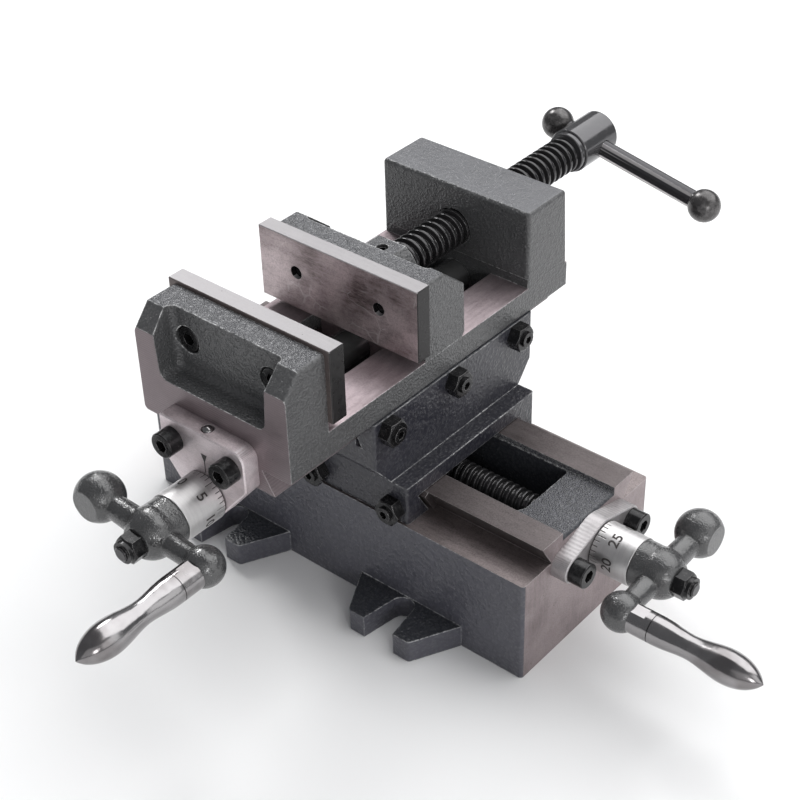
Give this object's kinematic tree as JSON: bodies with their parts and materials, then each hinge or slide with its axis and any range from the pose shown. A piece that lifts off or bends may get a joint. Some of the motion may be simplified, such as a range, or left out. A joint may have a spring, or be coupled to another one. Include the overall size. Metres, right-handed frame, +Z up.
{
  "type": "cross slide vise",
  "caption": "Compound cross slide vise with dovetail slides, gibs, screw feeds with dials and ball cranks, and a screw-driven jaw with a tommy bar.",
  "frame": {"origin": "centre of the base's underside, where it stands on the machine table", "axes": "+X along the base towards the X crank, +Y along the jaws' travel towards the tommy bar, +Z up"},
  "size_m": [0.3657, 0.4232, 0.1805],
  "materials": {
    "painted_casting": "rough dark grey paint on cast iron, with ground ways",
    "machined_steel": "ground, lightly stained",
    "dial_steel": "satin turned",
    "black_steel": "black oxide, oiled",
    "crank_paint": "dark grey hammered paint",
    "bright_chrome": "polished chrome",
    "bronze": "machined bronze"
  },
  "bodies": {
    "base": {"base_casting": "painted_casting", "x_bearing_plate": "machined_steel", "x_plate_screw_front": "black_steel", "x_plate_screw_rear": "black_steel"},
    "saddle": {"saddle_casting": "painted_casting", "x_gib": "machined_steel", "y_gib": "machined_steel", "x_gib_screw_1": "black_steel", "x_gib_screw_2": "black_steel", "x_gib_screw_3": "black_steel", "x_gib_nut_1": "black_steel", "x_gib_nut_2": "black_steel", "x_gib_nut_3": "black_steel", "y_gib_screw_1": "black_steel", "y_gib_screw_2": "black_steel", "y_gib_screw_3": "black_steel", "y_gib_nut_1": "black_steel", "y_gib_nut_2": "black_steel", "y_gib_nut_3": "black_steel", "x_feed_nut": "bronze", "y_feed_nut": "bronze", "x_nut_screw_front": "black_steel", "x_nut_screw_rear": "black_steel", "y_nut_screw_left": "black_steel", "y_nut_screw_right": "black_steel"},
    "x_screw": {"x_leadscrew": "black_steel", "x_dial": "dial_steel", "x_crank": "crank_paint", "x_crank_nut": "black_steel", "x_grip_stud": "bright_chrome"},
    "x_handle": {"x_grip": "bright_chrome"},
    "vise_body": {"vise_body_casting": "painted_casting", "fixed_jaw_plate": "machined_steel", "fixed_jaw_screw_left": "black_steel", "fixed_jaw_screw_right": "black_steel", "guide_rod": "machined_steel", "y_bearing_plate": "machined_steel", "y_plate_screw_left": "black_steel", "y_plate_screw_right": "black_steel", "oil_ball": "bright_chrome"},
    "y_screw": {"y_leadscrew": "black_steel", "y_dial": "dial_steel", "y_crank": "crank_paint", "y_crank_nut": "black_steel", "y_grip_stud": "bright_chrome"},
    "y_handle": {"y_grip": "bright_chrome"},
    "movable_jaw": {"movable_jaw_casting": "painted_casting", "movable_jaw_plate": "machined_steel", "movable_jaw_screw_left": "black_steel", "movable_jaw_screw_right": "black_steel", "jaw_set_screw": "black_steel"},
    "clamp_screw": {"vise_screw": "black_steel"},
    "tommy": {"tommy_bar": "black_steel", "tommy_ball_inner": "black_steel", "tommy_ball_outer": "black_steel"}
  },
  "joints": [
    {"name": "x_feed_turn", "type": "hinge", "parent": "base", "child": "x_screw", "pos_m": [0.1662, 0, 0.0557], "axis": [-1, 0, 0], "range_deg": [-4550, 5340]},
    {"name": "saddle_slide", "type": "slide", "parent": "base", "child": "saddle", "axis": [1, 0, 0], "range_m": [-0.0505, 0.0593]},
    {"name": "x_grip_spin", "type": "hinge", "parent": "x_screw", "child": "x_handle", "pos_m": [0.1662, -0.03248, 0.05462], "axis": [1, 0, 0], "continuous": true},
    {"name": "y_feed_turn", "type": "hinge", "parent": "vise_body", "child": "y_screw", "pos_m": [-0.0044, -0.1602, 0.0985], "axis": [0, 1, 0], "range_deg": [-4325, 4775]},
    {"name": "body_slide", "type": "slide", "parent": "saddle", "child": "vise_body", "axis": [0, 1, 0], "range_m": [-0.048, 0.053]},
    {"name": "y_grip_spin", "type": "hinge", "parent": "y_screw", "child": "y_handle", "pos_m": [0.02799, -0.1602, 0.09578], "axis": [0, -1, 0], "continuous": true},
    {"name": "vise_screw_turn", "type": "hinge", "parent": "movable_jaw", "child": "clamp_screw", "pos_m": [-0.0044, 0.1763, 0.1558], "axis": [0, -1, 0], "range_deg": [-3380, 3605]},
    {"name": "jaw_slide", "type": "slide", "parent": "vise_body", "child": "movable_jaw", "axis": [0, 1, 0], "range_m": [-0.05, 0.0469]},
    {"name": "tommy_bar_slide", "type": "slide", "parent": "clamp_screw", "child": "tommy", "axis": [0.9823, 0, -0.1874], "range_m": [-0.0583, 0]}
  ],
  "couplings": [
    {"joint": "x_feed_turn", "follows": "saddle_slide", "rad_per_m": 1570.8},
    {"joint": "y_feed_turn", "follows": "body_slide", "rad_per_m": 1570.8},
    {"joint": "vise_screw_turn", "follows": "jaw_slide", "rad_per_m": -1256.6}
  ]
}
